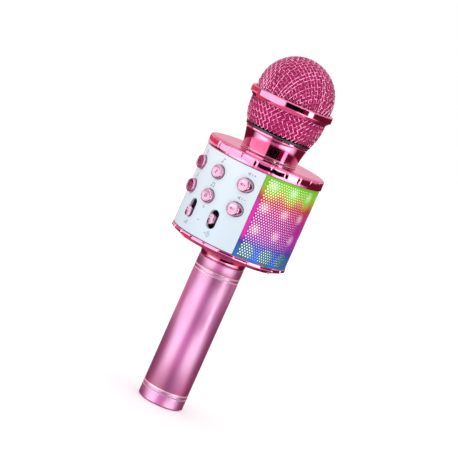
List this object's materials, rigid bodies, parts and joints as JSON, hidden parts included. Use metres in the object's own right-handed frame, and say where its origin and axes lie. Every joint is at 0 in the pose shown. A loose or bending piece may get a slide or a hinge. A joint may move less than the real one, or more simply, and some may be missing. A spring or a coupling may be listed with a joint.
{
  "type": "karaoke microphone",
  "caption": "Handheld wireless karaoke microphone with a lit speaker drum, key panel with two sliders, and an unscrewing mesh head.",
  "frame": {"origin": "centre of the foot's flat face", "axes": "+Z along the microphone from foot to head; -Y out of the middle of the control panel"},
  "size_m": [0.0804, 0.0825, 0.2462],
  "materials": {
    "pink_anodised": "satin anodised, pink",
    "pink_plated": "mirror plated plastic, pink",
    "pale_pink_plated": "mirror plated plastic, pale pink",
    "white_panel": "satin moulded",
    "grille_metal": "perforated sheet, printed",
    "diffuser": "milky translucent",
    "black_plastic": "moulded",
    "circuit_board": "solder resist",
    "bright_steel": "bright",
    "dark_iron": "blackened",
    "cell_sleeve": "shrink sleeve",
    "paper_cone": "pressed paper",
    "silver_mesh": "plated wire mesh, pink tint",
    "magenta_foam": "open-cell foam",
    "black_rubber": "moulded"
  },
  "bodies": {
    "housing": {"foot_cap": "pink_anodised", "handle_tube": "pink_anodised", "handle_flare": "pink_plated", "battery_cell": "cell_sleeve", "battery_holder": "black_plastic", "battery_spring": "bright_steel", "battery_contact": "bright_steel", "flare_nut": "bright_steel", "bottom_cover": "pink_plated", "top_cover": "pink_plated", "control_panel": "white_panel", "speaker_grille": "grille_metal", "diffuser_left": "diffuser", "diffuser_right": "diffuser", "light_board_left": "circuit_board", "light_board_right": "circuit_board", "chassis": "black_plastic", "main_board": "circuit_board", "port_board": "circuit_board", "speaker_frame": "dark_iron", "speaker_magnet": "dark_iron", "speaker_cone": "paper_cone", "usb_socket": "bright_steel", "audio_jack": "bright_steel", "card_socket": "bright_steel", "slider_pot_left": "dark_iron", "slider_pot_right": "dark_iron", "neck_collar": "pink_plated", "capsule_post": "black_plastic", "capsule_mount": "black_rubber", "capsule": "dark_iron", "switch_left_top": "black_plastic", "switch_left_bottom": "black_plastic", "switch_middle_top": "black_plastic", "switch_middle_bottom": "black_plastic", "switch_right_top": "black_plastic", "switch_right_bottom": "black_plastic", "bottom_cover_screw_1": "bright_steel", "bottom_cover_screw_2": "bright_steel", "bottom_cover_screw_3": "bright_steel", "bottom_cover_screw_4": "bright_steel", "top_cover_screw_1": "bright_steel", "top_cover_screw_2": "bright_steel", "top_cover_screw_3": "bright_steel"},
    "button_left_top": {"button_left_top": "pale_pink_plated"},
    "button_left_bottom": {"button_left_bottom": "pale_pink_plated"},
    "button_middle_top": {"button_middle_top": "pale_pink_plated"},
    "button_middle_bottom": {"button_middle_bottom": "pale_pink_plated"},
    "button_right_top": {"button_right_top": "pale_pink_plated"},
    "button_right_bottom": {"button_right_bottom": "pale_pink_plated"},
    "slider_knob_left": {"slider_knob_left": "pale_pink_plated"},
    "slider_knob_right": {"slider_knob_right": "pale_pink_plated"},
    "head_lift": {"foam_liner": "magenta_foam"},
    "head": {"head_thread_ring": "bright_steel", "lower_mesh": "silver_mesh", "head_ring": "pink_plated", "dome_mesh": "silver_mesh"}
  },
  "joints": [
    {"name": "button_left_top_press", "type": "slide", "parent": "housing", "child": "button_left_top", "axis": [0, 1, 0], "range_m": [0, 0.0008], "stiffness_N_per_m": 500, "springref_m": -0.0006},
    {"name": "button_left_bottom_press", "type": "slide", "parent": "housing", "child": "button_left_bottom", "axis": [0, 1, 0], "range_m": [0, 0.0008], "stiffness_N_per_m": 500, "springref_m": -0.0006},
    {"name": "button_middle_top_press", "type": "slide", "parent": "housing", "child": "button_middle_top", "axis": [0, 1, 0], "range_m": [0, 0.0008], "stiffness_N_per_m": 500, "springref_m": -0.0006},
    {"name": "button_middle_bottom_press", "type": "slide", "parent": "housing", "child": "button_middle_bottom", "axis": [0, 1, 0], "range_m": [0, 0.0008], "stiffness_N_per_m": 500, "springref_m": -0.0006},
    {"name": "button_right_top_press", "type": "slide", "parent": "housing", "child": "button_right_top", "axis": [0, 1, 0], "range_m": [0, 0.0008], "stiffness_N_per_m": 500, "springref_m": -0.0006},
    {"name": "button_right_bottom_press", "type": "slide", "parent": "housing", "child": "button_right_bottom", "axis": [0, 1, 0], "range_m": [0, 0.0008], "stiffness_N_per_m": 500, "springref_m": -0.0006},
    {"name": "slider_knob_left_slide", "type": "slide", "parent": "housing", "child": "slider_knob_left", "axis": [0, 0, 1], "range_m": [-0.0002, 0.0054]},
    {"name": "slider_knob_right_slide", "type": "slide", "parent": "housing", "child": "slider_knob_right", "axis": [0, 0, 1], "range_m": [-0.0028, 0.0028]},
    {"name": "head_rise", "type": "slide", "parent": "housing", "child": "head_lift", "axis": [0, 0, 1], "range_m": [0, 0.003]},
    {"name": "head_turn", "type": "hinge", "parent": "head_lift", "child": "head", "pos_m": [0, 0, 0.19], "axis": [0, 0, 1], "range_deg": [0, 720.3]}
  ],
  "couplings": [
    {"joint": "head_turn", "follows": "head_rise", "rad_per_m": 4188.8}
  ]
}
